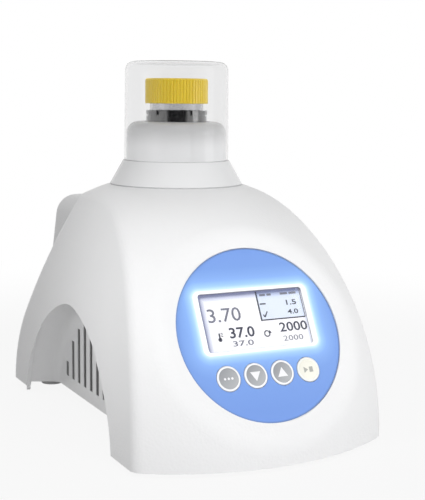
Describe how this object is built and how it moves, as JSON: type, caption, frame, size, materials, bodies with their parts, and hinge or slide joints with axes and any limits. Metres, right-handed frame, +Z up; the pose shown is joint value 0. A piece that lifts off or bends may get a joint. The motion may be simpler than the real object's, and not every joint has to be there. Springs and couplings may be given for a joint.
{
  "type": "bench bioreactor",
  "caption": "Bench bioreactor that spins a capped culture tube under a lift-off clear cover, with a domed housing, tilted round control panel, push keys, vented side recesses and rear fan.",
  "frame": {"origin": "on the bench, under the middle of the footprint", "axes": "+Z up along the tube axis, -Y towards the user and the control panel, +X to the right of someone facing the panel"},
  "size_m": [0.1356, 0.2106, 0.1877],
  "materials": {
    "housing_plastic": "satin white, fine moulded texture",
    "collar_plastic": "satin light grey",
    "clear_plastic": "clear acrylic",
    "overlay_blue": "semi-gloss printed film",
    "display_clear": "clear window",
    "display_face": "lit display",
    "key_grey": "satin grey key",
    "key_cream": "satin cream key",
    "cap_yellow": "yellow polypropylene",
    "grip_black": "black",
    "tube_clear": "clear polypropylene",
    "filter_white": "matt membrane",
    "rubber_black": "matt",
    "base_grey": "moulded",
    "steel_zinc": "zinc plated",
    "alloy": "machined",
    "bush_ptfe": "smooth",
    "motor_can": "plated can",
    "foam_grey": "closed-cell foam",
    "emitter_clear": "clear epoxy",
    "detector_dark": "dark epoxy",
    "ceramic_white": "matt ceramic plates",
    "fan_black": "moulded",
    "board_green": "solder mask",
    "part_black": "moulded",
    "ferrite": "sintered"
  },
  "bodies": {
    "base": {"housing_shell": "housing_plastic", "base_plate": "base_grey", "base_screws": "steel_zinc", "neck_collar": "collar_plastic", "collar_gasket": "rubber_black", "collar_screws": "steel_zinc", "upper_bush": "bush_ptfe", "motor_frame": "steel_zinc", "frame_screws": "steel_zinc", "motor_body": "motor_can", "motor_screws": "steel_zinc", "block_posts": "alloy", "block_screws": "steel_zinc", "thermal_block": "alloy", "insulation_jacket": "foam_grey", "ir_emitter": "emitter_clear", "light_detector": "detector_dark", "temp_sensor": "steel_zinc", "peltier_module": "ceramic_white", "heat_sink": "alloy", "clamp_screws": "steel_zinc", "fan_frame": "fan_black", "fan_screws": "steel_zinc", "panel_overlay": "overlay_blue", "display_window": "display_clear", "display_module": "display_face", "control_board": "board_green", "board_screws": "steel_zinc", "tact_switches": "part_black", "power_board": "board_green", "power_board_screws": "steel_zinc", "capacitors": "part_black", "inductor": "ferrite", "dc_inlet": "part_black", "usb_socket": "steel_zinc", "switch_body": "part_black", "foot_front_left": "rubber_black", "foot_front_right": "rubber_black", "foot_rear_left": "rubber_black", "foot_rear_right": "rubber_black"},
    "rotor": {"rotor_sleeve": "alloy", "grip_ring": "grip_black", "tube_o_ring": "rubber_black", "culture_tube": "tube_clear", "motor_shaft": "steel_zinc", "drive_coupling": "alloy"},
    "cap_seal": {"cap_filter": "filter_white"},
    "cap": {"tube_cap": "cap_yellow"},
    "cover": {"clear_cover": "clear_plastic"},
    "fan_rotor": {"fan_impeller": "fan_black"},
    "key_select": {"button_select": "key_grey"},
    "key_down": {"button_down": "key_grey"},
    "key_up": {"button_up": "key_grey"},
    "key_run": {"button_run": "key_cream"},
    "rocker": {"power_rocker": "part_black"}
  },
  "joints": [
    {"name": "cover_lift", "type": "slide", "parent": "base", "child": "cover", "axis": [0, 0, 1], "range_m": [0, 0.06]},
    {"name": "tube_spin", "type": "hinge", "parent": "base", "child": "rotor", "pos_m": [0, 0.0163, 0.1015], "axis": [0, 0, 1], "continuous": true},
    {"name": "cap_rise", "type": "slide", "parent": "rotor", "child": "cap_seal", "axis": [0, 0, 1], "range_m": [0, 0.00301]},
    {"name": "cap_turn", "type": "hinge", "parent": "cap_seal", "child": "cap", "pos_m": [0, 0.0163, 0.1715], "axis": [0, 0, 1], "range_deg": [0, 360]},
    {"name": "fan_spin", "type": "hinge", "parent": "base", "child": "fan_rotor", "pos_m": [0, 0.0943, 0.0773], "axis": [0, 1, 0], "continuous": true},
    {"name": "rocker_tip", "type": "hinge", "parent": "base", "child": "rocker", "pos_m": [-0.022, 0.1018, 0.0245], "axis": [1, 0, 0], "range_deg": [0, 14]},
    {"name": "press_select", "type": "slide", "parent": "base", "child": "key_select", "axis": [0, 0.8788, -0.4772], "range_m": [0, 0.0005], "stiffness_N_per_m": 600, "springref_m": -0.0005},
    {"name": "press_down", "type": "slide", "parent": "base", "child": "key_down", "axis": [0, 0.8788, -0.4772], "range_m": [0, 0.0005], "stiffness_N_per_m": 600, "springref_m": -0.0005},
    {"name": "press_up", "type": "slide", "parent": "base", "child": "key_up", "axis": [0, 0.8788, -0.4772], "range_m": [0, 0.0005], "stiffness_N_per_m": 600, "springref_m": -0.0005},
    {"name": "press_run", "type": "slide", "parent": "base", "child": "key_run", "axis": [0, 0.8788, -0.4772], "range_m": [0, 0.0005], "stiffness_N_per_m": 600, "springref_m": -0.0005}
  ],
  "couplings": [
    {"joint": "cap_rise", "follows": "cap_turn", "m_per_rad": 0.00047746}
  ]
}
